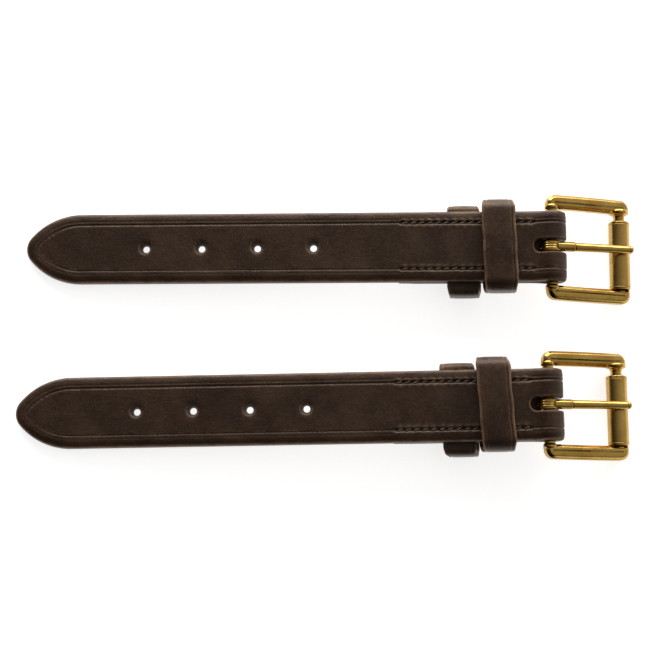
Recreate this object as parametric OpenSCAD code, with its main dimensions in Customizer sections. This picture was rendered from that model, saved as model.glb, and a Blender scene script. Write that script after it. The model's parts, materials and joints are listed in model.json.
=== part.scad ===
// Pair of girth point straps: bridle-leather straps with roller buckles, two keepers each.
// +X runs from the pointed end to the buckle, +Z is up, the ground is z = 0.

/* [Strap leather] */
// Width of the strap
strap_w = 25.4; // [25.4:0.1:26]
// Thickness of the face layer
face_t = 3.8; // [3.5:0.1:4.2]
// Thickness of the turned-back layer under the face
back_t = 3.0; // [2.8:0.1:3.4]
// Thickness of the leather where it wraps the heel bar
fold_t = 3.2; // [3:0.1:3.4]
// Heel bar centre to the tip of the point
tip_reach = 189.2; // [180:0.2:200]
// Heel bar centre to the end of the turned-back layer
turnback_reach = 54.6; // [54:0.2:60]
// Length of the pointed end
point_len = 17.0; // [15:0.5:22]
// Radius of the blunt curve across the very tip
tip_r = 13.5; // [13:0.5:16]

/* [Punched holes] */
// Number of tongue holes
hole_count = 4; // [1:1:5]
// Tip to the first hole's centre
hole_first = 43.4; // [38:0.2:46]
// Spacing of the holes
hole_step = 20.2; // [18:0.1:21]
// Radius of each hole
hole_r = 2.2; // [2:0.05:2.4]

/* [Crew slot] */
// Width of the slot that the tongue works in
slot_w = 4.8; // [4.6:0.1:5.2]
// Heel bar centre to the closed end of the slot
slot_reach = 6.4; // [6:0.1:7]

/* [Keepers] */
// Length of each keeper along the strap
keeper_len = 11.5; // [10:0.1:12]
// Leather thickness of the keepers
keeper_t = 1.8; // [1.6:0.1:2.2]
// Thickness of the keeper's skived run between the layers
tail_t = 1.0; // [0.8:0.1:1.2]
// Outside width of the keepers
keeper_w = 32.6; // [31.8:0.2:34]
// Free height inside each keeper
keeper_gap = 5.0; // [4.9:0.1:5.4]
// Heel bar centre to the middle of the front keeper
front_keeper_x = 18.7; // [18:0.1:19.5]
// Heel bar centre to the middle of the back keeper
back_keeper_x = 31.4; // [31.2:0.1:33]

/* [Stitching] */
// Distance from the strap's edge to each row
row_inset = 4.3; // [4:0.1:5]
// Spacing of the awl holes
stitch_step = 2.95; // [2.8:0.05:3.2]
// Number of stitches in a row
stitch_count = 16; // [10:1:16]
// Heel bar centre to the last awl hole
stitch_end = 6.6; // [6.5:0.1:7]
// Width of the thread
thread_w = 0.8; // [0.6:0.05:0.9]
// Depth of the groove that the thread lies in
thread_d = 0.5; // [0.4:0.05:0.6]

/* [Buckle] */
// Radius of the heel bar and of the roller's neck
bar_r = 2.0; // [1.9:0.05:2.1]
// Outside width of the frame
frame_w = 38.4; // [38:0.1:40]
// Width of each side rail
rail_w = 5.0; // [4.4:0.1:5.2]
// Height of each side rail
rail_h = 4.6; // [4.4:0.1:5]
// Bevel along the rails' edges
rail_bevel = 1.1; // [0.8:0.1:1.3]
// Radius of the frame's outer corners
frame_corner = 3.0; // [2:0.1:4]
// Heel bar centre to roller centre
roller_x = 26.8; // [26:0.1:28]
// Heel bar centre to the frame's front edge
frame_reach = 30.2; // [30:0.1:31]
// Outside radius of the roller
roller_r = 3.8; // [3.6:0.05:4]
// Length of the roller
roller_len = 25.0; // [24:0.1:26]
// Gap between the roller and the right-hand rail as the buckle lies
roller_side_gap = 0.3; // [0.2:0.1:1]

/* [Tongue] */
// Outside radius of the loop on the heel bar
loop_r = 3.7; // [3.6:0.05:3.9]
// Width of the loop
loop_w = 3.9; // [3.6:0.1:4]
// Radius of the tongue's root collar
collar_r = 1.8; // [1.7:0.05:1.9]
// Heel bar centre to the end of the collar
collar_reach = 7.6; // [7:0.1:9]
// Radius of the shank at the collar
shank_r = 1.55; // [1.4:0.05:1.6]
// Radius of the shank at its tip
shank_tip_r = 1.35; // [1.2:0.05:1.4]
// Heel bar centre to the tip
tongue_reach = 29.8; // [29:0.1:31]
// Height of the shank's axis above the heel bar's at the root
root_lift = 2.0; // [1.8:0.1:2.1]

/* [Lay of the pair] */
// Distance between the two heel bars across the pair
pair_step = 56.7; // [50:0.1:80]
// How far the second strap is set back
stagger = 2.3; // [0:0.1:10]
// Turn of the first strap about Z
yaw_1 = -0.4; // [-1:0.1:1]
// Turn of the second strap about Z
yaw_2 = 0.6; // [-1:0.1:1]

/* [Hidden] */
$fn = 64;
eps = 0.02;
fit = 0.06;

// Leather: the fold's radius, the arcs of the point, the join of fold and layers
fold_r = bar_r + fit + fold_t;
arc_r = (point_len * point_len + strap_w * strap_w / 4) / strap_w;
face_join = 2.2;
back_join = 3.0;
wedge_half = 1.55;
thread_y = strap_w / 2 - row_inset;
stitch_start = stitch_end + stitch_count * stitch_step;

// Lay: the strap rests on its tip and its back keeper, the roller rests on the ground
keeper_drop = back_t + keeper_gap + keeper_t;
pitch = atan(keeper_drop / (tip_reach - back_keeper_x - keeper_len / 2));
bar_z = tip_reach * sin(pitch);
droop = asin((bar_z - roller_r) / roller_x);
tongue_lift = atan((roller_r + shank_tip_r + 0.12 - root_lift) / roller_x);
tip_back = tip_reach * cos(pitch);
tongue_front = tongue_reach * cos(droop - tongue_lift) + (root_lift + 1) * sin(droop - tongue_lift);
bar_x = (tip_back + stagger - tongue_front) / 2;

// Second heel bar to first, and each strap's own axes on the ground
module lay(second) {
  x = second ? bar_x - stagger : bar_x;
  y = second ? -pair_step / 2 : pair_step / 2;
  translate([x, y, bar_z])
    rotate([0, -pitch, second ? yaw_2 : yaw_1])
      children();
}

module in_buckle() {
  rotate([0, droop + pitch, 0])
    children();
}

// A profile drawn as x and z, given a width across the strap
module across(w) {
  translate([0, w / 2, 0])
    rotate([90, 0, 0])
      linear_extrude(w)
        children();
}

// A profile drawn as y and z, given a length along the strap
module along(from, to) {
  translate([from, 0, 0])
    rotate([90, 0, 90])
      linear_extrude(to - from)
        children();
}

// Plan of the strap: straight sides, two arcs that would meet just past the tip, and
// a blunter arc across them
module strap_plan() {
  overrun = 0.8;
  base = -tip_reach + point_len - overrun;
  intersection() {
    union() {
      translate([base, -strap_w / 2])
        square([fold_r + 1 - base, strap_w]);
      intersection() {
        translate([base + eps, strap_w / 2 - arc_r])
          circle(arc_r, $fn = 128);
        translate([base + eps, arc_r - strap_w / 2])
          circle(arc_r, $fn = 128);
        translate([-tip_reach - 2, -strap_w / 2])
          square([point_len + 2, strap_w]);
      }
    }
    union() {
      translate([-tip_reach + tip_r, -strap_w])
        square([tip_reach + 2 * fold_r, 2 * strap_w]);
      translate([-tip_reach + tip_r + eps, 0])
        circle(tip_r, $fn = 96);
    }
  }
}

// Side view of the leather: face layer, fold round the heel bar, turned-back layer
module strap_side() {
  difference() {
    union() {
      circle(fold_r);
      polygon([
        [-turnback_reach, 0], [-turnback_reach, -0.9], [-turnback_reach + 6, -back_t],
        [-slot_reach, -back_t], [-back_join, -sqrt(fold_r * fold_r - back_join * back_join) + eps],
        [0, -fold_r / 2], [0, fold_r / 2],
        [-face_join, sqrt(fold_r * fold_r - face_join * face_join) - eps],
        [-slot_reach, face_t], [-tip_reach - 1, face_t], [-tip_reach - 1, 0]
      ]);
    }
    circle(bar_r + fit + 0.04);
    polygon([[-slot_reach, 0], [-1, -wedge_half], [-1, wedge_half]]);
  }
}

module stitch_ladder(slack) {
  low = -back_t;
  bar = thread_w + 2 * slack;
  difference() {
    translate([-stitch_start - bar / 2, low - slack])
      square([stitch_start - stitch_end + bar, face_t - low + 2 * slack]);
    for (i = [0 : stitch_count - 1])
      translate([-stitch_start + i * stitch_step + bar / 2, low + thread_d + slack])
        square([stitch_step - bar, face_t - low - 2 * thread_d - 2 * slack]);
  }
}

module thread_row(side, slack = 0) {
  translate([0, side * thread_y, 0])
    across(thread_w + 2 * slack)
      stitch_ladder(slack);
}

// Pockets between the layers for the keepers' skived runs
module pocket(x) {
  pocket_l = keeper_len + 0.2;
  pocket_h = tail_t + 0.04;
  translate([-x - pocket_l / 2, -strap_w, -pocket_h / 2])
    cube([pocket_l, 2 * strap_w, pocket_h]);
}

module crew_slot() {
  end_r = slot_w / 2 + 0.1;
  translate([-slot_reach + end_r, -slot_w / 2, -2 * fold_r])
    cube([2 * slot_reach, slot_w, 4 * fold_r]);
  translate([-slot_reach + end_r, 0, -2 * fold_r])
    cylinder(h = 4 * fold_r, r = end_r);
}

module strap() {
  color("#3d2c22")
    difference() {
      intersection() {
        across(strap_w)
          strap_side();
        translate([0, 0, -2 * fold_r])
          linear_extrude(4 * fold_r)
            strap_plan();
      }
      for (i = [0 : hole_count - 1])
        translate([-tip_reach + hole_first + i * hole_step, 0, -1])
          cylinder(h = face_t + 2, r = hole_r);
      crew_slot();
      pocket(front_keeper_x);
      pocket(back_keeper_x);
      thread_row(1, eps);
      thread_row(-1, eps);
    }
}

// A closed leather loop: one run between the layers, the other standing clear
module keeper_ring(free_t) {
  outer_h = tail_t / 2 + free_t + keeper_gap + keeper_t;
  inner_w = keeper_w - 2 * keeper_t;
  difference() {
    rounded(keeper_w, -tail_t / 2, outer_h - tail_t / 2, 2.4);
    rounded(inner_w, tail_t / 2, free_t + keeper_gap, 0.8);
  }
}

module rounded(w, low, high, r) {
  cut = r * 0.3;
  translate([-w / 2 + cut, low])
    square([w - 2 * cut, high - low]);
  translate([-w / 2, low + cut])
    square([w, high - low - 2 * cut]);
}

module front_keeper() {
  color("#4a362a")
    difference() {
      along(-front_keeper_x - keeper_len / 2, -front_keeper_x + keeper_len / 2)
        keeper_ring(face_t);
      thread_row(1, eps);
      thread_row(-1, eps);
    }
}

module back_keeper() {
  color("#4a362a")
    difference() {
      mirror([0, 0, 1])
        along(-back_keeper_x - keeper_len / 2, -back_keeper_x + keeper_len / 2)
          keeper_ring(back_t);
      thread_row(1, eps);
      thread_row(-1, eps);
    }
}

module stitching(side) {
  color("#2b1d15")
    thread_row(side);
}

// Bevelled section of a side rail, drawn round its own centre
module rail_section() {
  w = rail_w / 2;
  h = rail_h / 2;
  polygon([
    [-w, -h + rail_bevel], [-w + rail_bevel, -h], [w - rail_bevel, -h], [w, -h + rail_bevel],
    [w, h - rail_bevel], [w - rail_bevel, h], [-w + rail_bevel, h], [-w, h - rail_bevel]
  ]);
}

module frame_plan() {
  back = bar_r + 0.05;
  inner = frame_corner - 0.15;
  translate([-back + inner, -frame_w / 2])
    square([frame_reach + back - 2 * inner, frame_w]);
  translate([-back, -frame_w / 2 + inner])
    square([frame_reach + back, frame_w - 2 * inner]);
  for (x = [-back + frame_corner, frame_reach - frame_corner], side = [-1, 1])
    translate([x, side * (frame_w / 2 - frame_corner)])
      circle(frame_corner);
}

module buckle_frame() {
  rail_y = (frame_w - rail_w) / 2;
  color("#c9a24f")
    union() {
      intersection() {
        translate([0, 0, -rail_h])
          linear_extrude(2 * rail_h)
            frame_plan();
        union()
          for (side = [-1, 1])
            translate([0, side * rail_y, 0])
              along(-bar_r - 1, frame_reach + 1)
                rail_section();
      }
      for (x = [0, roller_x])
        translate([x, rail_y, 0])
          rotate([90, 0, 0])
            cylinder(h = 2 * rail_y, r = bar_r);
    }
}

module buckle_roller() {
  inner_w = frame_w - 2 * rail_w;
  color("#b98f3e")
    translate([roller_x, -inner_w / 2 + roller_side_gap + roller_len, 0])
      rotate([90, 0, 0])
        difference() {
          cylinder(h = roller_len, r = roller_r);
          translate([0, 0, -1])
            cylinder(h = roller_len + 2, r = bar_r + fit);
        }
}

// Loop on the heel bar, root collar and tapered shank resting on the roller
module buckle_tongue() {
  color("#d2ac58")
    difference() {
      union() {
        translate([0, loop_w / 2, 0])
          rotate([90, 0, 0])
            cylinder(h = loop_w, r = loop_r);
        translate([0, 0, root_lift])
          rotate([0, 90 - tongue_lift, 0]) {
            cylinder(h = collar_reach, r = collar_r);
            cylinder(h = tongue_reach - 0.8, r1 = shank_r, r2 = shank_tip_r);
            translate([0, 0, tongue_reach - 0.8])
              cylinder(h = 0.8, r1 = shank_tip_r, r2 = 0.8);
          }
      }
      translate([0, loop_w, 0])
        rotate([90, 0, 0])
          cylinder(h = 2 * loop_w, r = bar_r + fit);
    }
}

lay(false) strap();  // strap_1
lay(false) front_keeper();  // front_keeper_1
lay(false) back_keeper();  // back_keeper_1
lay(false) stitching(1);  // stitching_left_1
lay(false) stitching(-1);  // stitching_right_1
lay(false) in_buckle() buckle_frame();  // buckle_frame_1
lay(false) in_buckle() buckle_roller();  // buckle_roller_1
lay(false) in_buckle() buckle_tongue();  // buckle_tongue_1
lay(true) strap();  // strap_2
lay(true) front_keeper();  // front_keeper_2
lay(true) back_keeper();  // back_keeper_2
lay(true) stitching(1);  // stitching_left_2
lay(true) stitching(-1);  // stitching_right_2
lay(true) in_buckle() buckle_frame();  // buckle_frame_2
lay(true) in_buckle() buckle_roller();  // buckle_roller_2
lay(true) in_buckle() buckle_tongue();  // buckle_tongue_2
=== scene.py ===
import json
import math

import bmesh
import bpy
import numpy as np
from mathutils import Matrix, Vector


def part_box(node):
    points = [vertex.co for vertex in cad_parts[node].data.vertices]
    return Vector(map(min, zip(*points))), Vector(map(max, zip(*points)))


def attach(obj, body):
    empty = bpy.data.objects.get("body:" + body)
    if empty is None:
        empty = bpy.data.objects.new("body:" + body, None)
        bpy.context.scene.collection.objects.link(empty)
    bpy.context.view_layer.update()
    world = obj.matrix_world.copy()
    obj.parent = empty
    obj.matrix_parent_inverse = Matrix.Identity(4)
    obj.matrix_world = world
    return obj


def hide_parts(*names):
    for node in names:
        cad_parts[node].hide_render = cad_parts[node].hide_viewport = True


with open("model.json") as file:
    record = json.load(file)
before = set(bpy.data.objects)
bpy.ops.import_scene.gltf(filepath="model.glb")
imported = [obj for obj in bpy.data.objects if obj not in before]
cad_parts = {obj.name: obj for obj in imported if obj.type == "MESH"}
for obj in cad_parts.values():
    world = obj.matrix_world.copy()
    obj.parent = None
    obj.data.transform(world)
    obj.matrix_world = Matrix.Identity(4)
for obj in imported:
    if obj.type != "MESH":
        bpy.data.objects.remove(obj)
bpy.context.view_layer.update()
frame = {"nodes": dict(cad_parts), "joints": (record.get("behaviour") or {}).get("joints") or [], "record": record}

mm = 0.001
mmPerMetre = 1000
weldWithin = 0.005 * mm      # points of two lattices this close are one point
mounts = {m["name"]: m for m in frame["record"]["mounts"]}
joints = {j["name"]: j for j in frame["joints"]}
print("frame loaded:", len(frame["nodes"]), "nodes")


def unit(v):
    return np.array(v, float) / np.linalg.norm(v)


def strapLay(n):
    # Heel-bar centre, and the strap's own axes: towards the buckle, across, up through the face.
    pivot = joints[f"buckle_swing_{n}"]
    across = -unit(pivot["axis"])
    up = unit(mounts[f"tongue_hole_1_strap_{n}"]["axis"])
    return np.array(pivot["pos_m"]), np.array([np.cross(across, up), across, up])


def buckleLay(n):
    # The same point with the buckle's own axes: heel bar to roller, along the bar, up.
    origin, axes = strapLay(n)
    forward = unit(mounts[f"buckle_{n}"]["axis"])
    return origin, np.array([forward, axes[1], np.cross(forward, axes[1])])


def ontoGround(lay, points):
    # Own millimetres to metres in the shared frame: origin plus each value along its axis.
    origin, axes = lay
    return origin + points @ axes * mm


def gridQuads(rows, cols, wrapRows=False, wrapCols=False):
    # Every cell of a rows x cols lattice as four corner numbers.
    i, j = np.meshgrid(np.arange(rows if wrapRows else rows - 1),
                       np.arange(cols if wrapCols else cols - 1), indexing="ij")
    i2, j2 = (i + 1) % rows, (j + 1) % cols
    return np.stack([i * cols + j, i2 * cols + j, i2 * cols + j2, i * cols + j2], -1).reshape(-1, 4)


def bell(x, middle, spread):
    # exp(-((x - middle) / spread)^2), a smooth bump one high.
    return np.exp(-((x - middle) / spread) ** 2)


def easeIn(x, low, high):
    # 0 below low, 1 above high, 3t^2 - 2t^3 between.
    t = np.clip((x - low) / (high - low), 0, 1)
    return t * t * (3 - 2 * t)


class Shell:
    # Lattices and plates gathered with their named values, then welded into one closed mesh.
    def __init__(self):
        self.points, self.faces, self.values, self.count = [], [], [], 0

    def lattice(self, points, keep=None, wrapRows=False, wrapCols=False, **values):
        rows, cols = points.shape[:2]
        quads = gridQuads(rows, cols, wrapRows, wrapCols)
        if keep is not None:
            quads = quads[keep.ravel()]
        self.points.append(points.reshape(-1, 3))
        self.faces += (quads + self.count).tolist()
        self.values.append({k: np.broadcast_to(v, (rows, cols)).ravel() for k, v in values.items()})
        self.count += rows * cols

    def plate(self, ring, **values):
        # A flat face inside a closed ring of points.
        self.points.append(ring)
        self.faces.append((np.arange(len(ring)) + self.count).tolist())
        self.values.append({k: np.full(len(ring), v) for k, v in values.items()})
        self.count += len(ring)

    def piece(self, name, lay, material, body, nodes):
        mesh = bpy.data.meshes.new(name)
        mesh.from_pydata(ontoGround(lay, np.concatenate(self.points)).tolist(), [], self.faces)
        for key in sorted({k for part in self.values for k in part}):
            column = np.concatenate([part.get(key, np.zeros(len(p)))
                                     for part, p in zip(self.values, self.points)])
            layer = mesh.attributes.new(key, "FLOAT", "POINT")
            layer.data.foreach_set("value", column.astype(np.float32))
        weld = bmesh.new()
        weld.from_mesh(mesh)
        bmesh.ops.remove_doubles(weld, verts=weld.verts, dist=weldWithin)
        bmesh.ops.recalc_face_normals(weld, faces=weld.faces)
        weld.to_mesh(mesh)
        weld.free()
        mesh.shade_smooth()
        mesh.materials.append(material)
        made = bpy.data.objects.new(name, mesh)
        bpy.context.scene.collection.objects.link(made)
        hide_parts(*nodes)
        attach(made, body)
        print("made", name, len(mesh.polygons), "faces")
        return made


def turned(shell, profile, segments, centre=(0.0, 0.0), close=False, **values):
    # Surface of revolution about the y axis through (x, z) = centre; profile rows are (y, radius).
    turn = np.linspace(0, 2 * math.pi, segments, endpoint=False)
    y, r = profile[:, :1], profile[:, 1:2]
    points = np.stack([centre[0] + r * np.cos(turn), y + 0 * turn, centre[1] + r * np.sin(turn)], -1)
    shell.lattice(points, wrapRows=close, wrapCols=True, **values)


class Wire:
    # A shader socket that adds Math nodes for + - * /.
    def __init__(self, tree, socket):
        self.tree, self.socket = tree, socket

    def maths(self, operation, first, second):
        node = self.tree.nodes.new("ShaderNodeMath")
        node.operation = operation
        for place, value in zip(node.inputs, (first, second)):
            if isinstance(value, Wire):
                self.tree.links.new(value.socket, place)
            else:
                place.default_value = value
        return Wire(self.tree, node.outputs[0])

    def __add__(self, other):
        return self.maths("ADD", self, other)

    def __radd__(self, other):
        return self.maths("ADD", other, self)

    def __sub__(self, other):
        return self.maths("SUBTRACT", self, other)

    def __rsub__(self, other):
        return self.maths("SUBTRACT", other, self)

    def __mul__(self, other):
        return self.maths("MULTIPLY", self, other)

    def __rmul__(self, other):
        return self.maths("MULTIPLY", other, self)

    def clipped(self):
        node = self.maths("ADD", self, 0.0)
        node.socket.node.use_clamp = True
        return node


class Finish:
    # One material: its node tree, one method that adds any node, and the Principled shader.
    def __init__(self, name):
        self.material = bpy.data.materials.new(name)
        self.material.use_nodes = True
        self.tree = self.material.node_tree
        self.shader = self.tree.nodes["Principled BSDF"]
        self.place = self.node("TexCoord", {}, out="Object")

    def node(self, kind, settings, out=0, **inputs):
        # Settings first, then inputs by name, or by place as i0, i1 and so on.
        node = self.tree.nodes.new("ShaderNode" + kind)
        for key, value in settings.items():
            setattr(node, key, value)
        for key, value in inputs.items():
            numbered = key[0] == "i" and key[1:].isdigit()
            socket = node.inputs[int(key[1:]) if numbered else key]
            if isinstance(value, Wire):
                self.tree.links.new(value.socket, socket)
            else:
                socket.default_value = value
        return Wire(self.tree, node.outputs[out])

    def noise(self, size, detail=3.0, rough=0.5, vector=None):
        # Cloudy 0 to 1 pattern; size is the width of one cloud in millimetres.
        return self.node("TexNoise", {}, Vector=vector or self.place, Scale=mmPerMetre / size,
                         Detail=detail, Roughness=rough)

    def stretched(self, x, y, z):
        # Object position with each axis squeezed, for streaks.
        return self.node("Mapping", {}, Vector=self.place, Scale=(x, y, z))

    def mix(self, share, first, second):
        return self.node("Mix", {"data_type": "RGBA"}, out=2, i0=share, i6=first, i7=second)

    def mark(self, name):
        return self.node("Attribute", {"attribute_name": name}, out="Fac")

    def step(self, value, low, high):
        # 0 before low, 1 past high, eased between; falls instead of rising when low is the larger.
        return self.node("MapRange", {"interpolation_type": "SMOOTHSTEP"}, i0=value, i1=low, i2=high)

    def bump(self, height, depth, below=None):
        # Height 0 to 1 raised by depth millimetres, on top of another bump.
        inputs = {"Height": height, "Distance": depth * mm}
        if below is not None:
            inputs["Normal"] = below
        return self.node("Bump", {}, **inputs)

    def feed(self, **inputs):
        for key, value in inputs.items():
            socket = self.shader.inputs[key.replace("_", " ")]
            if isinstance(value, Wire):
                self.tree.links.new(value.socket, socket)
            else:
                socket.default_value = value
        return self.material


def rgb(red, green, blue):
    return (red, green, blue, 1.0)


leatherLook = {
    "dark": rgb(0.0235, 0.0108, 0.0062),
    "brown": rgb(0.0480, 0.0250, 0.0140),
    # worn: pale tan for rubbed wear, also used for the painted highlight on lips, slot rims and keeper ends
    "worn": rgb(0.300, 0.1700, 0.0950),
    "rawCut": rgb(0.200, 0.1150, 0.0620),
    "flesh": rgb(0.090, 0.0560, 0.0350),
    "cloudSize": 14, "speckSize": 1.3, "patchSize": 5.5, "fleckSize": 0.55,     # widths, mm
    "fibreSize": 0.45, "poreSize": 0.22, "wrinkleSize": 2.4, "grainSize": 0.62,
    "rubFrom": 1.15, "rubFull": 0.25,        # rubbing starts and is full this far from an edge, mm
    "rubShare": 0.6, "lipWearAndHighlightShare": 0.9, "fleckShare": 0.07, "grooveShare": 0.45,
    "cutShare": 0.7, "fleshShare": 0.85,
    "grainDepth": 0.12, "fibreDepth": 0.16,
    "shine": 0.40, "rawDull": 0.35,
    "wax": 0.10, "waxShine": 0.25,
    "specular": 0.28, "gleam": (1.0, 0.86, 0.72, 1.0),
}


def leatherFinish(name, look):
    # Mottled brown with a pebbled grain, rubbed paler along the edges. The lip mark paints the lips of the
    # creases and stitched rows pale as wear plus painted highlight, and the slot's rims and one end of each
    # keeper pale as painted highlight only. Cut walls and the flesh side are raw and dull.
    made = Finish(name)
    cloud = made.noise(look["cloudSize"], 4, 0.6)
    speck = made.noise(look["speckSize"], 3, 0.6)
    patches = made.step(made.noise(look["patchSize"], 4, 0.6), 0.34, 0.62)
    flecks = made.step(made.noise(look["fleckSize"], 2, 0.6), 0.52, 0.70)
    fibre = made.noise(look["fibreSize"], 2, 0.7, made.stretched(1.0, 1.0, 2.6))
    edge, cut, flesh, groove, lip = (made.mark(k) for k in ("edge", "cut", "flesh", "groove", "lip"))
    tone = made.step(cloud * 0.65 + speck * 0.35, 0.34, 0.68)
    colour = made.mix(tone, look["dark"], look["brown"])
    rub = made.step(edge, look["rubFrom"], look["rubFull"]) * (0.35 + patches * 0.65) * (1 - flesh)
    colour = made.mix(rub * look["rubShare"], colour, look["worn"])
    colour = made.mix(groove * look["grooveShare"], colour, look["dark"])
    # Wear plus painted highlight: the lip mark turns crease and stitch lips, slot rims and keeper ends pale tan.
    paleLipWearAndHighlight = (lip * (0.15 + patches * 0.85) * (0.4 + flecks * 0.6)).clipped()
    colour = made.mix(paleLipWearAndHighlight * look["lipWearAndHighlightShare"], colour, look["worn"])
    colour = made.mix(flecks * look["fleckShare"], colour, look["worn"])
    raw = made.mix(made.step(fibre, 0.3, 0.7), look["flesh"], look["rawCut"])
    colour = made.mix(cut * look["cutShare"], colour, raw)
    colour = made.mix(flesh * look["fleshShare"], colour, look["flesh"])
    pebble = made.node("TexVoronoi", {"feature": "SMOOTH_F1"}, Vector=made.place,
                       Scale=mmPerMetre / look["grainSize"], Smoothness=0.6)
    pores = made.noise(look["poreSize"], 2, 0.6)
    wrinkles = made.noise(look["wrinkleSize"], 5, 0.62, made.stretched(0.55, 1.25, 1.0))
    surface = made.bump(pebble * 0.55 + pores * 0.25 + wrinkles * 0.9, look["grainDepth"])
    surface = made.bump(fibre * (cut + flesh), look["fibreDepth"], surface)
    dull = look["shine"] + (speck - 0.5) * 0.22 + (cloud - 0.5) * 0.12 + (cut + flesh) * look["rawDull"]
    wax = ((1 - cut - flesh) * look["wax"]).clipped()
    return made.feed(Base_Color=colour, Roughness=dull.clipped(), Normal=surface,
                     Coat_Weight=wax, Coat_Roughness=look["waxShine"],
                     Specular_IOR_Level=look["specular"], Specular_Tint=look["gleam"])


threadLook = {
    "dark": rgb(0.024, 0.013, 0.008),
    "brown": rgb(0.120, 0.070, 0.043),
    "fibreSize": 0.16, "fibreDepth": 0.05, "waxSize": 1.1,
    "shine": 0.5, "specular": 0.4,
}


def threadFinish(name, look):
    # Waxed thread: dark brown, fine fibres, faint wax bloom.
    made = Finish(name)
    fibre = made.noise(look["fibreSize"], 3, 0.6, made.stretched(0.5, 1.6, 1.0))
    wax = made.noise(look["waxSize"], 2)
    colour = made.mix(made.step(fibre * 0.5 + wax * 0.5, 0.35, 0.7), look["dark"], look["brown"])
    return made.feed(Base_Color=colour, Roughness=(look["shine"] + (wax - 0.5) * 0.2).clipped(),
                     Normal=made.bump(fibre, look["fibreDepth"]), Specular_IOR_Level=look["specular"])


brassLook = {
    "bright": rgb(0.53, 0.338, 0.086),
    "deep": rgb(0.41, 0.245, 0.058),
    "tarnish": rgb(0.20, 0.110, 0.035),
    "driftSize": 7, "speckSize": 0.7, "scratchSize": 0.5, "lumpSize": 2.2,      # widths, mm
    "lumps": 0.008, "scratches": 0.003,      # heights, mm
    "stainShare": 0.35, "grooveShare": 0.75,
    "shine": 0.17,
}


def brassFinish(name, look, streaks, dull=0.0):
    # Polished brass: slow colour drift, tarnish in clouds and specks, fine rubbed scratches along
    # one way.
    made = Finish(name)
    drift = made.noise(look["driftSize"], 3, 0.55)
    speck = made.noise(look["speckSize"], 4, 0.65)
    scratch = made.noise(look["scratchSize"], 3, 0.7, made.stretched(*streaks))
    cast = made.noise(look["lumpSize"], 2, 0.5)
    colour = made.mix(made.step(drift, 0.35, 0.65), look["deep"], look["bright"])
    stain = made.step(drift * 0.5 + speck * 0.5, 0.52, 0.66)
    groove = made.mark("groove")
    tarnished = (stain * look["stainShare"] + groove * look["grooveShare"]).clipped()
    colour = made.mix(tarnished, colour, look["tarnish"])
    rough = look["shine"] + dull + (scratch - 0.5) * 0.12 + stain * 0.10 + groove * 0.25
    surface = made.bump(scratch, look["scratches"], made.bump(cast, look["lumps"]))
    return made.feed(Base_Color=colour, Metallic=1.0, Roughness=rough.clipped(), Normal=surface)


strapFinish = leatherFinish("bridle_leather", leatherLook)
keeperLook = {**leatherLook, "brown": rgb(0.058, 0.0310, 0.0180), "grainSize": 0.48, "shine": 0.38}
keeperFinish = leatherFinish("keeper_leather", keeperLook)
rowFinish = threadFinish("waxed_thread", threadLook)
frameFinish = brassFinish("cast_brass", brassLook, (0.35, 1.6, 1.6))
rollerLook = {**brassLook, "bright": rgb(0.54, 0.340, 0.096), "deep": rgb(0.44, 0.265, 0.070),
              "lumps": 0.002}
rollerFinish = brassFinish("roller_brass", rollerLook, (1.8, 0.25, 1.8), 0.06)
tongueFinish = brassFinish("tongue_brass", brassLook, (0.25, 2.0, 2.0))
print("finishes ready")


strapSizes = {
    "width": 25.4, "face": 3.8, "back": 3.0, "foldRadius": 5.26, "boreRadius": 2.1,
    "shoulder": 9.0,        # where the face starts to rise over the heel bar, from the bar
    "turnback": 54.6, "skiveLength": 6.0, "skiveEnd": 0.9,
    "pointStart": 20.0, "arcRadius": 24.2, "tipRadius": 6.5,
    "grainRound": 0.75, "fleshRound": 0.3,
    "edgeDrop": 0.75, "edgeBand": 3.1,        # the face falls this much over this band to its edge
    "fullRelief": 2.4,      # leather thinner than this has shallower relief
    "wallBulge": 0.10,
    "creases": ((3.0, 0.09, 0.24), (4.3, 0.22, 0.30)),   # inset, depth, spread
    "holeRadius": 2.2, "holeTaper": 1.0, "holeDish": 0.16,
    "slotReach": 6.4, "slotBack": 4.3, "slotHalf": 2.4,
    # Rings of an opening: out from its rim and down from the grain; then shares of taper and depth.
    "lipRings": ((1.0, 0), (0.7, 0), (0.5, 0.02), (0.3, 0.08), (0.14, 0.2), (0.04, 0.36), (0, 0.55)),
    "wallRings": ((0.4, 0.3), (0.8, 0.55), (1, 0.8), (1, 0.93)),
    "patch": 3.4, "slotMargin": 1.7,        # half size of a hole's block, room past the slot's ends
    "seam": 0.03,
}
stitchSizes = {
    "inset": 4.3, "step": 2.95, "count": 16, "end": 6.6,
    "length": 2.7, "halfWidth": 0.48, "halfHeight": 0.42, "slant": 0.42, "dive": 0.5,
    "grooveDepth": 0.42, "grooveSpread": 0.5,
}
keeperSizes = {
    "length": 11.9, "thick": 1.8, "tail": 1.0, "width": 32.6, "gap": 5.0,
    "topCorner": 3.0, "tailCorner": 1.5, "crown": 0.7, "swell": 0.14,
    "edgeRound": 0.5, "creaseInset": 1.35, "creaseDepth": 0.17, "waist": 0.10,
    "skew": {"front": (0.040, 0.062), "back": (0.028, 0.075)},   # lean along the strap per mm across
    "sideways": {"front": (-0.45, 0.0), "back": (-0.8, -0.8)},   # off the strap's middle, mm
    "rub": {"front": (0.7, 0.6), "back": (1.6, 0.9)},            # painted highlight: how pale each one's left end is painted, for the back light's sheen
}


def ownX(n, mountName):
    # A mount's place along strap n, in millimetres from the heel bar.
    origin, axes = strapLay(n)
    return float((np.array(mounts[mountName]["pos_m"]) - origin) @ axes[0] / mm)


def tipReach(n):
    # Heel bar to tip, from the strap's own box: its lowest x is the tip's upper edge.
    origin, axes = strapLay(n)
    far = (origin[0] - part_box(f"strap_{n}")[0].x) / mm
    return (far - strapSizes["face"] * abs(axes[2][0])) / axes[0][0]


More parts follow.
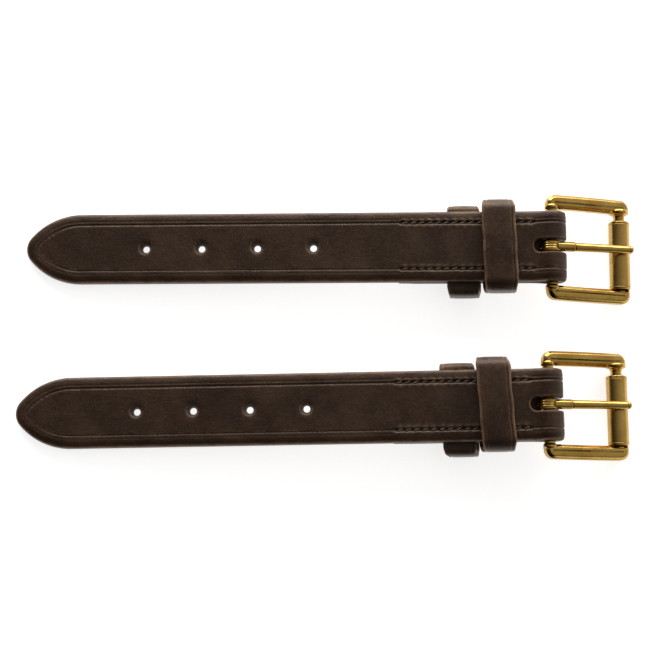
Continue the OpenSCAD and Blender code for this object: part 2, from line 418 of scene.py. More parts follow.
def leatherPath(n):
    # Side view: grain line and flesh line as matched points, tip to turned-back end, and the
    # length s along their middle. Straight face, eased shoulder, circle round the bar, straight back.
    z = strapSizes
    reach = tipReach(n)
    keepersAt = [ownX(n, f"{name}_keeper_loop_{n}") for name in ("front", "back")]
    curve = np.linspace(0, 1, 25)[1:]
    top, low = math.radians(112), math.radians(-124)      # where the circle starts and ends

    def eased(start, end, startWay, endWay, pull):
        # Cubic from start to end, leaving and arriving along the given directions.
        t = curve[:, None]
        p0, p3 = np.array(start), np.array(end)
        p1, p2 = p0 + pull * np.array(startWay), p3 - pull * np.array(endWay)
        return (1 - t) ** 3 * p0 + 3 * t * (1 - t) ** 2 * p1 + 3 * t * t * (1 - t) * p2 + t ** 3 * p3

    def arc(radius):
        a = top + (low - top) * np.linspace(0, 1, 61)[1:]
        return np.stack([radius * np.cos(a), radius * np.sin(a)], 1)

    def circlePoint(radius, a):
        return radius * math.cos(a), radius * math.sin(a)

    faceX = np.linspace(-reach - 1, -z["shoulder"], 400)
    backEnd, skiveFrom = -z["turnback"], -z["turnback"] + z["skiveLength"]
    backX = np.concatenate([np.linspace(-z["shoulder"], skiveFrom, 200)[1:],
                            np.linspace(skiveFrom, backEnd, 20)[1:]])
    backZ = np.interp(backX, [backEnd, skiveFrom], [-z["skiveEnd"], -z["back"]])

    def pocket(x):
        # The flesh lines part by half a tail each where a keeper runs between them.
        inside = sum((np.abs(x - k) < keeperSizes["length"] / 2 + 0.1) for k in keepersAt)
        return z["seam"] + inside * keeperSizes["tail"] / 2

    topWay = (math.sin(top), -math.cos(top))
    lowWay = (math.sin(low), -math.cos(low))
    rf, rb = z["foldRadius"], z["boreRadius"]
    grain = np.concatenate([
        np.stack([faceX, np.full_like(faceX, z["face"])], 1),
        eased((-z["shoulder"], z["face"]), circlePoint(rf, top), (1, 0), topWay, 2.4),
        arc(rf),
        eased(circlePoint(rf, low), (-z["shoulder"], -z["back"]), lowWay, (-1, 0), 2.0),
        np.stack([backX, backZ], 1)])
    flesh = np.concatenate([
        np.stack([faceX, pocket(faceX)], 1),
        eased((-z["shoulder"], z["seam"]), circlePoint(rb, top), (1, 0), topWay, 2.2),
        arc(rb),
        eased(circlePoint(rb, low), (-z["shoulder"], -z["seam"]), lowWay, (-1, 0), 2.0),
        np.stack([backX, -pocket(backX)], 1)])
    middle = (grain + flesh) / 2
    middle[:len(faceX), 1] = z["face"] / 2
    middle[-len(backX):, 1] = -z["back"] / 2
    s = np.concatenate([[0], np.cumsum(np.linalg.norm(np.diff(middle, axis=0), axis=1))]) - 1
    return s, grain, flesh


def tipOutline(s):
    # Half width of the plan at s from the tip: the least of the blunt arc, the long arc and the strap.
    z = strapSizes
    nose = np.clip(s, 0, z["tipRadius"])
    blunt = np.sqrt(2 * z["tipRadius"] * nose - nose ** 2) + np.clip(s - 1.5, 0, None) * 2
    short = np.clip(z["pointStart"] - s, 0, None)
    long = z["width"] / 2 - z["arcRadius"] + np.sqrt(z["arcRadius"] ** 2 - short ** 2)
    return np.minimum(np.minimum(blunt, long), z["width"] / 2)


def edgeDistance(s, y):
    # Distance in plan to the nearest point of the outline.
    z = strapSizes
    away = z["width"] / 2 - np.abs(y)
    near = s < z["pointStart"] + 6
    trace = z["pointStart"] * 1.6 * np.linspace(0, 1, 400) ** 2
    half = tipOutline(trace)
    gap = np.hypot(s[near][:, None] - trace, np.abs(y[near])[:, None] - half).min(1)
    away[near] = np.minimum(away[near], gap)
    return away


def grooves(x, y, away):
    # Depth of the crease lines and of the stitched rows below the grain.
    t = stitchSizes
    creased = sum(depth * bell(away, inset, spread) for inset, depth, spread in strapSizes["creases"])
    rowY = strapSizes["width"] / 2 - t["inset"]
    sewn = easeIn(x, -t["end"] - t["count"] * t["step"] - 0.8, -t["end"] - t["count"] * t["step"]) \
        * (1 - easeIn(x, -t["end"], -t["end"] + 0.8))
    phase = 2 * math.pi * (x + t["end"]) / t["step"]
    side = np.abs(y) - rowY - 0.10 * np.sin(phase)
    trough = t["grooveDepth"] * (1 + 0.35 * np.cos(phase)) * np.exp(-(side / t["grooveSpread"]) ** 2)
    lip = -0.16 * (1 - 0.5 * np.cos(phase)) * np.exp(-((np.abs(side) - 1.05) / 0.42) ** 2)
    return creased * (1 - 0.6 * sewn), sewn * (trough + lip)


def strap(n):
    z = strapSizes
    reach = tipReach(n)
    holes = sorted(ownX(n, f"tongue_hole_{k}_strap_{n}") + reach for k in range(1, 5))
    pathS, grain, flesh = leatherPath(n)
    total = pathS[-1]
    slotFrom, slotTo = reach - z["slotReach"], total - z["turnback"] + z["slotBack"]
    patch, margin = z["patch"], z["slotMargin"]

    # Rows along the leather: close at the tip, at holes, through the stitching and round the bar.
    sewnLength = stitchSizes["end"] + stitchSizes["count"] * stitchSizes["step"] + 1.6
    stops = [(z["pointStart"], 1.6)]
    for h in holes:
        stops += [(h - patch, 0.85), (h + patch, 1.6)]
    stops += [(reach - sewnLength, 0.42), (slotFrom - margin, 0.5), (slotTo + margin, 0.42),
              (total - z["turnback"] + sewnLength - 0.2, 0.6), (total, 1)]
    rows = [z["pointStart"] * np.linspace(0, 1, 46)[:-1] ** 2]
    for (start, step), (end, _) in zip(stops, stops[1:]):
        rows.append(np.linspace(start, end, max(2, math.ceil((end - start) / step)) + 1)[:-1])
    rows = np.concatenate(rows + [[total]])
    # Columns across: close over the creases and the stitched row, then the hole's block.
    insets = np.array([z["grainRound"], 1.2, 1.6, 2.0, 2.35, 2.6, 2.8, 3.0, 3.2, 3.4, 3.65, 3.9, 4.1,
                       4.3, 4.5, 4.7, 4.95, 5.3, 5.8, 6.5, 7.3, 8.3])
    inner = patch * np.array([1, 0.75, 0.5, 0.25])
    half = np.concatenate([z["width"] / 2 - insets, inner])
    share = np.concatenate([half, [0], -half[::-1]]) / (z["width"] / 2 - z["grainRound"])

    # Outline point and outward normal of each row; the last row's corner is mitred.
    outY = tipOutline(rows)
    slope = (tipOutline(rows + 1e-3) - tipOutline(np.clip(rows - 1e-3, 0, None))) / 2e-3
    normal = np.stack([-slope, np.ones_like(slope)], 1)
    normal /= np.linalg.norm(normal, axis=1, keepdims=True)
    normal[0], normal[-1] = (-1, 0), (1, 1)
    outY[0] = 0

    def plan(i, j, inset):
        # Lattice place (row i, column j) moved in from the outline by inset.
        return rows[i] - inset * normal[i, 0], share[j] * (outY[i] - inset * normal[i, 1])

    def linesAt(s):
        # Grain and flesh points of the side view at length s.
        return [np.stack([np.interp(s, pathS, line[:, k]) for k in (0, 1)], -1)
                for line in (grain, flesh)]

    def solid(s, y, depth, fromFlesh=False):
        # Plan place and depth under the grain to strap millimetres; the grain has its own relief:
        # edge drop, creases, stitched rows, dished holes and slow waves of a few hundredths.
        out, into = linesAt(s)
        thick = np.linalg.norm(out - into, axis=-1)
        away = edgeDistance(s.ravel(), y.ravel()).reshape(s.shape)
        onBack = s > (slotFrom + slotTo) / 2
        creased, sewn = (line.reshape(s.shape)
                         for line in grooves(out[..., 0].ravel(), y.ravel(), away.ravel()))
        drop = z["edgeDrop"] * np.clip(1 - away / z["edgeBand"], 0, 1) ** 2 * np.where(onBack, 0.6, 1)
        fromRim = [np.clip(np.hypot(s - h, y) - z["holeRadius"], 0, None) for h in holes]
        dish = sum(z["holeDish"] * np.exp(-gap ** 2 / 0.9) for gap in fromRim)
        waves = 0.06 * np.sin(s * 0.21 + 0.8 * n) * np.cos(y * 0.23 + n) \
            + 0.04 * np.sin(s * 0.53 + y * 0.3)
        body = np.clip(thick / z["fullRelief"], 0, 1)
        relief = (drop + creased + sewn + dish + waves * np.clip(away / 3, 0, 1)) * body
        fall = thick if fromFlesh else np.minimum(relief + depth * body, thick)
        where = out + (into - out) * (fall / np.maximum(thick, 1e-6))[..., None]
        xyz = np.stack([where[..., 0], y, where[..., 1]], -1)
        # Lip mark: inner lips of the creases and raised ridges beside the stitched rows, painted pale as wear plus
        # painted highlight.
        lipWearAndHighlight = sum(bell(away, inset + 0.42, 0.17) * deep / 0.20 for inset, deep, _ in z["creases"])
        lipWearAndHighlight = lipWearAndHighlight + np.clip(-sewn / 0.2, 0, 0.8)
        return xyz, away, np.clip((creased + sewn) / 0.4, 0, 1), np.clip(lipWearAndHighlight, 0, 1)

    def walls(i, j, steps):
        # From grain to flesh over an edge: rounded arris, wall, small rounded arris.
        g, f = z["grainRound"], z["fleshRound"]
        lines, marks = [], []
        turn = np.linspace(0, math.pi / 2, 6)
        for a in turn:
            s, y = plan(i, j, g * (1 - math.sin(a)))
            p, away = solid(s, y, g * (1 - math.cos(a)))[:2]
            lines.append(p)
            marks.append(away)
        upper, unrubbed = lines[-1], 0 * marks[0] + 2
        under = solid(*plan(i, j, f), 0, True)[0]
        s, y = plan(i, j, 0.0)
        lowest = linesAt(s)[1]
        into = np.stack([lowest[..., 0], y, lowest[..., 1]], -1)
        way = upper - into
        lower = into + way * (f / np.maximum(np.linalg.norm(way, axis=-1), f))[..., None]
        for t in np.linspace(0, 1, steps)[1:]:
            s2, y2 = plan(i, j, -z["wallBulge"] * math.sin(math.pi * t))
            wall = upper + (lower - upper) * t
            wall[..., 1] = y2
            wall[..., 0] += np.interp(s2, pathS, grain[:, 0]) - np.interp(s, pathS, grain[:, 0])
            lines.append(wall)
            marks.append(unrubbed)
        for a in (0.4, 0.75):
            bow = 0.5 * math.sin(a * math.pi / 2) * (1 - a)
            lines.append(lower + (under - lower) * a + (into - lower) * (1 - a) * bow)
            marks.append(unrubbed)
        lines.append(under)
        marks.append(unrubbed)
        return np.stack(lines), np.stack(marks)

    shell = Shell()
    i, j = np.meshgrid(np.arange(len(rows)), np.arange(len(share)), indexing="ij")
    keep = np.ones((len(rows) - 1, len(share) - 1), bool)
    midRow = (rows[1:] + rows[:-1]) / 2
    column = share * (z["width"] / 2 - z["grainRound"])
    midColumn = (column[1:] + column[:-1]) / 2
    blocks = [(h - patch, h + patch) for h in holes] + [(slotFrom - margin, slotTo + margin)]
    for low, high in blocks:
        keep &= ~(((midRow > low) & (midRow < high))[:, None] & (np.abs(midColumn) < patch)[None, :])
    s, y = plan(i, j, z["grainRound"])
    points, away, marked, lipWearAndHighlight = solid(s, y, 0)
    shell.lattice(points, keep, edge=away, groove=marked, lip=lipWearAndHighlight, flesh=0, cut=0)
    s, y = plan(i, j, z["fleshRound"])
    points = solid(s, y, 0, True)[0]
    shell.lattice(points, keep, edge=3, groove=0, flesh=1, cut=0)

    count = len(rows)
    lastCol = len(share) - 1
    loopRow = np.concatenate([np.arange(count), np.full(lastCol - 1, count - 1),
                              np.arange(count)[::-1]])
    loopCol = np.concatenate([np.zeros(count, int), np.arange(1, lastCol), np.full(count, lastCol)])
    points, away = walls(loopRow, loopCol, 6)
    shell.lattice(points, wrapCols=True, edge=away, groove=0, flesh=0, cut=0)

    # Holes and slot: rings from the block's rim, over a soft lip, down the wall to the flesh side.
    for low, high in blocks:
        isSlot = high - low > 2 * patch + 0.1
        radius = z["slotHalf"] if isSlot else z["holeRadius"]
        taper = 0.0 if isSlot else z["holeTaper"]
        first, last = (np.flatnonzero(np.abs(rows - end) < 1e-6)[0] for end in (low, high))
        left, right = np.flatnonzero(np.abs(np.abs(column) - patch) < 1e-6)
        ringRow = np.concatenate([np.arange(first, last), np.full(right - left, last),
                                  np.arange(last, first, -1), np.full(right - left, first)])
        ringCol = np.concatenate([np.full(last - first, left), np.arange(left, right),
                                  np.full(last - first, right), np.arange(right, left, -1)])
        endInset = margin + radius if isSlot else patch

        def blockRim(inset):
            # Rim of the block in plan, the nearest point of the opening's middle line, and the way out.
            ps, py = plan(ringRow, ringCol, inset)
            cs = np.clip(ps, low + endInset, high - endInset)
            way = np.stack([ps - cs, py], 1)
            return ps, py, cs, way / np.linalg.norm(way, axis=1, keepdims=True)

        def ringAt(rim, out):
            return rim[2] + out * rim[3][:, 0], out * rim[3][:, 1]

        top, bottom = blockRim(z["grainRound"]), blockRim(z["fleshRound"])
        rims = [solid(*top[:2], 0)[0]]
        for out, depth in z["lipRings"]:
            rims.append(solid(*ringAt(top, radius + out), depth)[0])
        for narrowing, down in z["wallRings"]:
            place = ringAt(top, radius - narrowing * taper)
            grainSide, fleshSide = solid(*place, z["lipRings"][-1][1])[0], solid(*place, 0, True)[0]
            rims.append(grainSide + (fleshSide - grainSide) * down)
        for out in (-taper, 0.5):
            rims.append(solid(*ringAt(bottom, radius + out), 0, True)[0])
        rims.append(solid(*bottom[:2], 0, True)[0])
        rims = np.stack(rims)
        # Raw cut colour is strongest just under the rim and fades down the wall, so the inside of each opening is
        # painted dark as painted shade.
        rawCutThenPaintedShade = np.array([0, 0, 0, 0.1, 0.6, 0.9, 1, 0.9, 0.5, 0.3, 0.2, 0.2, 0.3, 0, 0])[:, None]
        # Painted highlight: the slot's rim is painted pale through the lip mark, where the back light catches it.
        paintedRimHighlight = np.array([0, 0, 0.2, 0.8, 1, 1, 0.8, 0.4] + [0] * 7)[:, None] * isSlot
        fleshMark = np.array([0] * 12 + [1, 1, 1])[:, None]
        shell.lattice(rims, wrapCols=True, edge=3, groove=0, cut=rawCutThenPaintedShade, lip=paintedRimHighlight, flesh=fleshMark)
    return shell.piece(f"strap_leather_{n}", strapLay(n), strapFinish,
                       ("first_strap", "second_strap")[n - 1], [f"strap_{n}"])


def keeperRing(shape, freeHeight):
    # Middle line of the band as (y, z) with outward normals and thickness: a flat run between the
    # layers, rounded corners, sides, and a slightly crowned run across the top.
    half = shape["width"] / 2 - shape["thick"] / 2
    high = freeHeight + shape["gap"] + shape["thick"] / 2
    corners = [(half, 0.0, shape["tailCorner"], -90), (half, high, shape["topCorner"], 0),
               (-half, high, shape["topCorner"], 90), (-half, 0.0, shape["tailCorner"], 180)]
    line = []
    for y, z, r, start in corners:
        a = np.radians(np.linspace(start, start + 90, 12))
        line.append(np.stack([y - math.copysign(r, y) + r * np.cos(a),
                              z + (r if z == 0 else -r) + r * np.sin(a)], 1))
    ring = np.concatenate(line + [line[0][:1]])
    length = np.concatenate([[0], np.cumsum(np.linalg.norm(np.diff(ring, axis=0), axis=1))])
    even = np.unique(np.concatenate([length, np.linspace(0, length[-1], 90)]))[:-1]
    even = even[np.concatenate([[True], np.diff(even) > 0.02])]
    ring = np.stack([np.interp(even, length, ring[:, k]) for k in (0, 1)], 1)
    over = easeIn(ring[:, 1], high * 0.4, high)
    ring[:, 1] -= shape["crown"] * over * (ring[:, 0] / half) ** 2
    ring[:, 0] *= 1 + 0.012 * np.sin(np.pi * np.clip(ring[:, 1] / high, 0, 1))
    way = np.roll(ring, -1, 0) - np.roll(ring, 1, 0)
    outward = np.stack([way[:, 1], -way[:, 0]], 1)
    outward /= np.linalg.norm(outward, axis=1, keepdims=True)
    tailShare = (1 - easeIn(np.abs(ring[:, 0]), half - 2.2, half)) * (1 - easeIn(ring[:, 1], 0.2, 2.0))
    return ring, outward, shape["thick"] + (shape["tail"] - shape["thick"]) * tailShare


def keeper(n, name, body, facing):
    # Closed band: the ring line carried round by a rounded strip section (along the strap, through).
    shape = keeperSizes
    free = strapSizes["face"] if facing > 0 else strapSizes["back"]
    ring, outward, thick = keeperRing(shape, free)
    end, r = shape["length"] / 2, shape["edgeRound"]
    flat = end - r
    run = flat - np.array([0, 0.15, 0.3, 0.45, 0.6, 0.8, 1.1, 1.7, 2.6, 3.7])
    face = np.concatenate([-run, [0], run[::-1]])
    turn = np.linspace(0, math.pi / 2, 5)[1:-1]
    x = np.concatenate([face, flat + r * np.sin(turn), [end, end], flat + r * np.cos(turn),
                        np.linspace(flat, -flat, 9), -flat - r * np.sin(turn), [-end, -end],
                        -flat - r * np.cos(turn)])
    rising, falling = r * (1 - np.cos(turn)), r * (1 - np.sin(turn))
    off = np.concatenate([0 * face, rising, [r, r], falling, np.zeros(9), rising, [r, r], falling])
    isOuter = np.ones(len(x), bool)
    isOuter[len(face) + 4:-4] = False
    crease = bell(np.abs(x), end - shape["creaseInset"], 0.20)
    swell = shape["swell"] * np.cos(np.pi * x / 2 / (end + 1)) - shape["creaseDepth"] * crease
    swell = np.where(isOuter & (off == 0), swell, 0)
    t = thick[:, None]
    slim = np.clip(t / shape["thick"], 0.5, 1)
    up = np.where(isOuter[None], t / 2 + (swell - off)[None] * slim, -t / 2 + off[None] * slim)
    y = ring[:, :1] + outward[:, :1] * up
    z = ring[:, 1:] + outward[:, 1:] * up
    # Along the strap: a slight wave, the band's lean, and a narrower stretch where it turns down.
    half, outer = shape["width"] / 2, isOuter[None]
    ripple = 0.10 * np.sin(0.55 * ring[:, :1] + n) * (np.abs(ring[:, 1:]) > 2)
    lean = shape["skew"][name][n - 1] * easeIn(ring[:, 1:], 0.3, 3.0)
    narrow = 1 - shape["waist"] * easeIn(np.abs(y), half - 3.2, half + 0.2)
    points = np.stack([ownX(n, f"{name}_keeper_loop_{n}") + x[None] * narrow + ripple - lean * y,
                       y + shape["sideways"][name][n - 1], facing * z], -1)
    inside = (~isOuter & (off == 0))[None]
    creased = bell(np.abs(x), end - shape["creaseInset"], 0.25)[None] * outer
    # Crease lips painted pale, as wear plus painted highlight.
    creaseLipWearAndHighlight = bell(np.abs(x), end - shape["creaseInset"] - 0.4, 0.2)[None] * outer
    # Painted highlight: one end of each keeper painted pale where the back light's sheen falls.
    paintedEndSheen = shape["rub"][name][n - 1] * bell(ring[:, :1], half - 1.6, 2.2) * outer
    shell = Shell()
    shell.lattice(points, wrapRows=True, wrapCols=True,
                  edge=np.where(inside, 3.0, end - np.abs(x)[None]), flesh=inside * 1.0, cut=0,
                  groove=creased, lip=np.clip(0.7 * creaseLipWearAndHighlight + paintedEndSheen, 0, 1))
    return shell.piece(f"{name}_keeper_loop_{n}", strapLay(n), keeperFinish, body,
                       [f"{name}_keeper_{n}"])


def stitchRow(n, name, side, body):
    # Pillow stitches on the face and on the back: a lies along the stitch, b goes round it. The middle
    # line slants across the row and dives into the awl holes; two plies twist round it.
    t = stitchSizes
    around = np.linspace(0, 2 * math.pi, 10, endpoint=False)
    a, b = np.meshgrid(np.linspace(-1, 1, 13), around, indexing="ij")
    swell = np.sqrt(np.clip(1 - np.abs(a) ** 3.2, 0, 1)) * (1 + 0.10 * np.cos(2 * b - 7.0 * a))
    along = a * t["length"] / 2
    acrossRow = t["slant"] * a + t["halfWidth"] * swell * np.cos(b)
    rise = -0.30 - t["dive"] * np.abs(a) ** 3 + t["halfHeight"] * swell * np.sin(b)
    rowY = side * (strapSizes["width"] / 2 - t["inset"])
    grain = leatherPath(n)[1]
    bend = int(np.argmax(grain[:, 0]))
    shell = Shell()
    for layer, line in ((1, grain[:bend]), (-1, grain[:bend:-1])):
        for k in range(t["count"]):
            x = along - t["end"] - (k + 0.5) * t["step"]
            tilt = 1 + 0.12 * math.sin(2.3 * k + side + n)
            height = np.interp(x, line[:, 0], line[:, 1]) + layer * rise
            points = np.stack([x, rowY + acrossRow * tilt, height], -1)
            shell.lattice(points, wrapCols=True)
    return shell.piece(f"{name}_stitches_{n}", strapLay(n), rowFinish, body,
                       [f"stitching_{name}_{n}"])


buckleSizes = {
    "width": 38.4, "railWidth": 5.2, "railHeight": 4.6, "bevel": 1.05, "dome": 0.14,
    "outerCorner": 3.2, "innerCorner": 0.9,
    "back": 2.05, "front": 30.2, "bow": 0.18, "barRadius": 2.0, "rollerX": 26.8,
    "rollerRadius": 3.8, "rollerLength": 25.0, "rollerGap": 0.1, "rollerBore": 2.1,
    "rollerLip": 0.5, "barFillets": (0.45, 0.45), "neckFillets": (1.5, 0.1),     # left and right end
}
tongueSizes = {
    "loopCorner": 0.7, "ridge": 0.07, "ridgeStep": 0.85, "knob": 0.15, "knobDegrees": 22,
    "loopRadius": 3.7, "loopWidth": 3.9, "bore": 2.08, "lift": 2.0, "leanDegrees": 6.957,
    "reach": 29.8, "collarEnd": 7.6, "collarRadius": 1.8, "shank": 1.58, "shankTip": 1.38, "nib": 1.4,
}


def roundedBox(x0, x1, y0, y1, outer, inner, inset):
    # Plan of a rail, moved in by inset: corners at y1 have radius outer, corners at y0 radius inner.
    corners = []
    for x, y, r, start in ((x1, y0, inner, -90), (x1, y1, outer, 0),
                           (x0, y1, outer, 90), (x0, y0, inner, 180)):
        r = max(r - inset, 0.12)
        a = np.radians(np.linspace(start, start + 90, 9))
        cx = x - math.copysign(inset + r, x - (x0 + x1) / 2)
        cy = y - math.copysign(inset + r, y - (y0 + y1) / 2)
        corners.append(np.stack([cx + r * np.cos(a), cy + r * np.sin(a)], 1))
    line = []
    for here, after in zip(corners, corners[1:] + corners[:1]):
        t = np.linspace(0, 1, 18)[1:-1, None]
        line += [here, here[-1] + (after[0] - here[-1]) * t]
    return np.concatenate(line)


def buckleFrame(n, body):
    z = buckleSizes
    shell = Shell()
    b, centre = z["bevel"], z["railWidth"] / 2
    h = z["railHeight"] / 2 - z["dome"]
    section = [(inset, h + z["dome"] * (1 - ((centre - inset) / (centre - b)) ** 2))
               for inset in centre - np.array([0.15, 0.4, 0.65, 0.9, 1.15, 1.3])]
    section += [(b + 0.12, h + 0.02), (b - 0.10, h - 0.07), (b * 0.78, h - b * 0.22),
               (b * 0.22, h - b * 0.78), (0.07, h - b + 0.10), (0, h - b - 0.12), (0, h - b - 0.45)]
    section += [(inset, -height) for inset, height in section[::-1]]
    for side in (1, -1):
        loops = []
        for inset, height in section:
            plan = roundedBox(-z["back"], z["front"], z["width"] / 2 - z["railWidth"], z["width"] / 2,
                              z["outerCorner"], z["innerCorner"], inset)
            bow = z["bow"] * (np.sin(np.pi * (plan[:, 0] + z["back"]) / (z["front"] + z["back"])) - 1)
            loops.append(np.stack([plan[:, 0], side * (plan[:, 1] + bow * 0.8),
                                   np.full(len(plan), height)], 1))
        loops = np.stack(loops)
        shell.lattice(loops, wrapCols=True, groove=0)
        shell.plate(loops[0], groove=0)
        shell.plate(loops[-1], groove=0)
    inner = z["width"] / 2 - z["railWidth"]
    flare = np.linspace(0, 1, 7)
    for x, fillets in ((0.0, z["barFillets"]), (z["rollerX"], z["neckFillets"])):
        # Radius grows by f - sqrt(f^2 - d^2) over the last f millimetres before the rail.
        ends = []
        for f in fillets:
            y = np.concatenate([inner - f * (1 - flare), [inner + 1.5, inner + 1.5]])
            grown = np.concatenate([f * (1 - np.sqrt(1 - flare ** 2)), [f, -z["barRadius"]]])
            ends.append(np.stack([y, z["barRadius"] + grown], 1))
        upper, lower = ends[0], ends[1] * (-1, 1)
        turned(shell, np.concatenate([lower[::-1], upper]), 40, (x, 0), groove=0)
    return shell.piece(f"buckle_frame_cast_{n}", buckleLay(n), frameFinish, body,
                       [f"buckle_frame_{n}"])


def roller(n, body):
    # Tube on the neck: softened lips, a shallow ring cut near each end, worn a little thinner mid-way.
    z = buckleSizes
    long, outer, bore, lip = z["rollerLength"], z["rollerRadius"], z["rollerBore"], z["rollerLip"]
    start = -z["width"] / 2 + z["railWidth"] + z["rollerGap"]
    end = start + long
    endRun = np.array([0.5, 0.72, 0.84, 0.92, 1.0, 1.08, 1.16, 1.28, 1.6])
    run = np.concatenate([endRun, np.linspace(2.4, long - 2.4, 15), (long - endRun)[::-1]])
    fromEnd = np.minimum(run, long - run)
    radius = outer - 0.13 * bell(fromEnd, 1.0, 0.09) - 0.05 * np.sin(np.pi * run / long)
    turn = np.linspace(0, math.pi / 2, 6)[:-1]
    back = turn[::-1]
    lipIn = np.stack([start + lip * (1 - np.cos(turn)), outer - lip + lip * np.sin(turn)], 1)
    lipOut = np.stack([end - lip * (1 - np.cos(back)), outer - lip + lip * np.sin(back)], 1)
    inside = [[end, bore + 0.25], [end - 0.25, bore], [start + 0.25, bore], [start, bore + 0.25]]
    profile = np.concatenate([lipIn, np.stack([start + run, radius], 1), lipOut, inside])
    cutRing = np.concatenate([np.zeros(5), bell(fromEnd, 1.0, 0.12), np.zeros(5), np.ones(4)])[:, None]
    shell = Shell()
    turned(shell, profile, 72, (z["rollerX"], 0), close=True, groove=cutRing)
    return shell.piece(f"roller_tube_{n}", buckleLay(n), rollerFinish, body,
                       [f"buckle_roller_{n}"])


def tongue(n, body):
    z = tongueSizes
    shell = Shell()
    # Loop on the heel bar: a rounded strip turned about it, with shallow ridges round its crest.
    half, rim, bore, corner = z["loopWidth"] / 2, z["loopRadius"], z["bore"], z["loopCorner"]
    turn = np.linspace(0, math.pi / 2, 6)
    crest = np.linspace(-half + corner, half - corner, 17)
    ridges = rim - z["ridge"] + z["ridge"] * np.cos(crest * 2 * math.pi / z["ridgeStep"])
    low, high = turn[:-1], turn[1:]
    profile = np.concatenate([
        np.stack([-half + corner - corner * np.cos(low), rim - corner + corner * np.sin(low)], 1),
        np.stack([crest, ridges], 1),
        np.stack([half - corner + corner * np.sin(high), rim - corner + corner * np.cos(high)], 1),
        [[half, bore + 0.3], [half - 0.3, bore], [-half + 0.3, bore], [-half, bore + 0.3]]])
    turned(shell, profile, 48, close=True, groove=0)
    loop = shell.points[-1].reshape(len(profile), 48, 3)
    # Its back is swollen into a knob: radius times 1 + a bell by angle from straight behind.
    fromBehind = np.arctan2(loop[..., 2], -loop[..., 0])
    outward = easeIn(np.hypot(loop[..., 2], loop[..., 0]), bore + 0.3, rim - 0.6)
    knob = 1 + z["knob"] * bell(fromBehind, math.radians(z["knobDegrees"]), 0.62) * outward
    loop[..., 0] *= knob
    loop[..., 2] *= knob
    # Shank: radius by distance along a leaning axis; eight flats on the collar melt into a round taper.
    reach, collarEnd = z["reach"], z["collarEnd"]
    nibTurn = np.linspace(0, math.pi / 2, 9)
    run = np.unique(np.concatenate([np.linspace(0.8, collarEnd - 0.6, 14),
                                    collarEnd + np.array([-0.4, -0.25, -0.1, 0, 0.12, 0.25, 0.4, 0.6]),
                                    np.linspace(collarEnd + 1.2, reach - 2.6, 22),
                                    reach - 2.6 + np.array([0.5, 0.7, 0.85, 1.0, 1.15, 1.3]),
                                    reach - z["nib"] * 0.72 * (1 - np.sin(nibTurn))]))
    a = np.linspace(0, 2 * math.pi, 48, endpoint=False)
    share = np.clip((run - collarEnd) / (reach - collarEnd), 0, 1)
    collar = (1 - easeIn(run, collarEnd - 0.25, collarEnd + 0.1))[:, None]
    rod = z["shank"] + (z["shankTip"] - z["shank"]) * share
    nibRun = np.clip((run - (reach - 1.0)) / 1.0, 0, 1)
    rod = rod * np.sqrt(np.clip(1 - nibRun ** 2.2, 0, 1)) - 0.10 * bell(run, reach - 1.6, 0.14)
    notch = 0.22 * bell(run, collarEnd + 0.05, 0.16)[:, None]
    flat = np.cos(math.pi / 8) / np.cos((a + math.pi / 8) % (math.pi / 4) - math.pi / 8)
    octagon = z["collarRadius"] * (0.55 * flat + 0.45) * 1.02
    radius = np.maximum(rod[:, None] * (1 - collar) + octagon[None] * collar - notch, 0)
    lean = math.radians(z["leanDegrees"])
    side, rise = radius * np.cos(a), radius * np.sin(a)
    points = np.stack([run[:, None] * math.cos(lean) - rise * math.sin(lean), side,
                       z["lift"] + run[:, None] * math.sin(lean) + rise * math.cos(lean)], -1)
    worn = np.clip(bell(run, collarEnd + 0.05, 0.2) + bell(run, reach - 1.6, 0.16), 0, 1)[:, None]
    shell.lattice(points, wrapCols=True, groove=worn)
    shell.plate(points[0], groove=0)
    return shell.piece(f"tongue_rod_{n}", buckleLay(n), tongueFinish, body,
                       [f"buckle_tongue_{n}"])


for n, order in ((1, "first"), (2, "second")):
    strap(n)
    keeper(n, "front", f"{order}_strap", 1)
    keeper(n, "back", f"{order}_strap", -1)
    stitchRow(n, "left", 1, f"{order}_strap")
    stitchRow(n, "right", -1, f"{order}_strap")
    buckleFrame(n, f"{order}_buckle")
    roller(n, f"{order}_roller")
    tongue(n, f"{order}_tongue")
print("both straps built")


studio = {
    "world": 0.29, "fromRight": 0.32, "fromBack": 0.32, "worldColour": (1.0, 0.985, 0.96, 1.0),
    "floorHalf": 2.5, "glow": 0.82,
    "floor": (0.93, 0.93, 0.93, 1.0), "floorFleck": (0.90, 0.90, 0.89, 1.0),
    "stripAt": (0.05, 1.1, 0.42), "stripSize": (1.6, 0.65), "stripPower": 19.0,      # metres, watts
    "target": (-0.0003, 0.0023, 0.0), "distance": 0.650, "elevation": 80.0, "lens": 99.7,
}


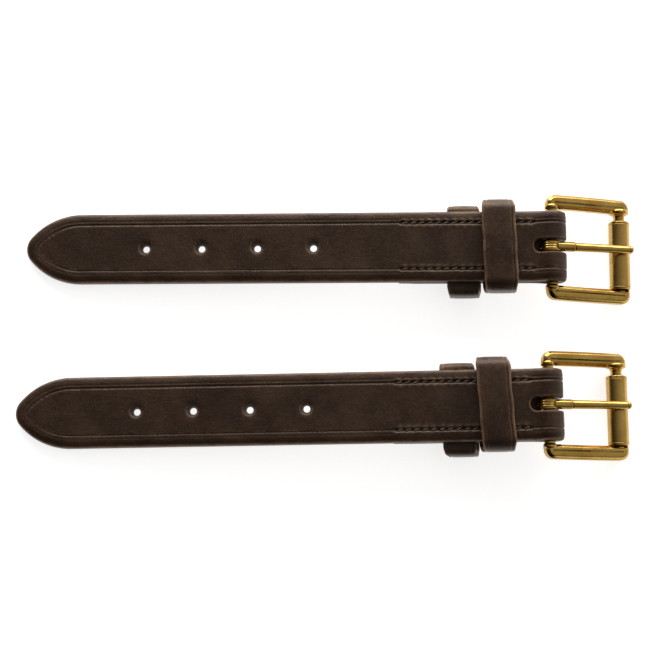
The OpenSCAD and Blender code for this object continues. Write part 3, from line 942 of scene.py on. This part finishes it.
def floor():
    # A wide square of pale paper with a faint tooth.
    corners = np.array([[-1, -1], [1, -1], [1, 1], [-1, 1]]) * studio["floorHalf"]
    mesh = bpy.data.meshes.new("floor")
    mesh.from_pydata([(x, y, 0.0) for x, y in corners], [], [(0, 1, 2, 3)])
    made = bpy.data.objects.new("floor", mesh)
    bpy.context.scene.collection.objects.link(made)
    paper = Finish("pale_paper")
    tooth = paper.noise(1.5, 3)
    colour = paper.mix(tooth * 0.2, studio["floor"], studio["floorFleck"])
    mesh.materials.append(paper.feed(Base_Color=colour, Roughness=0.9, Normal=paper.bump(tooth, 0.02),
                                     Specular_IOR_Level=0.1, Emission_Color=studio["floor"],
                                     Emission_Strength=studio["glow"]))


def softBox(name, place, target, width, height, power):
    light = bpy.data.lights.new(name, "AREA")
    light.shape, light.size, light.size_y, light.energy = "RECTANGLE", width, height, power
    made = bpy.data.objects.new(name, light)
    made.location = place
    made.rotation_euler = (Vector(target) - Vector(place)).to_track_quat("-Z", "Y").to_euler()
    bpy.context.scene.collection.objects.link(made)


floor()
world = bpy.data.worlds.new("studio")
bpy.context.scene.world = world
world.use_nodes = True
backdrop = world.node_tree.nodes["Background"]
backdrop.inputs["Color"].default_value = studio["worldColour"]
split = world.node_tree.nodes.new("ShaderNodeSeparateXYZ")
coordinates = world.node_tree.nodes.new("ShaderNodeTexCoord")
world.node_tree.links.new(coordinates.outputs["Generated"], split.inputs[0])
toRight, toBack = (Wire(world.node_tree, split.outputs[k]) for k in (0, 1))
brightness = (studio["world"] + toRight * studio["fromRight"] + toBack * studio["fromBack"]).clipped()
world.node_tree.links.new(brightness.socket, backdrop.inputs["Strength"])
softBox("back_strip", studio["stripAt"], (0, 0, 0), *studio["stripSize"], studio["stripPower"])

target = Vector(studio["target"])
lift = math.radians(studio["elevation"])
camera = bpy.data.cameras.new("camera")
camera.lens, camera.sensor_width, camera.clip_start = studio["lens"], 36.0, 0.01
cameraObject = bpy.data.objects.new("camera", camera)
cameraObject.location = target + Vector((0, -math.cos(lift), math.sin(lift))) * studio["distance"]
cameraObject.rotation_euler = (target - cameraObject.location).to_track_quat("-Z", "Y").to_euler()
bpy.context.scene.collection.objects.link(cameraObject)
bpy.context.scene.camera = cameraObject
bpy.context.scene.view_settings.view_transform = "Standard"
print("studio ready")
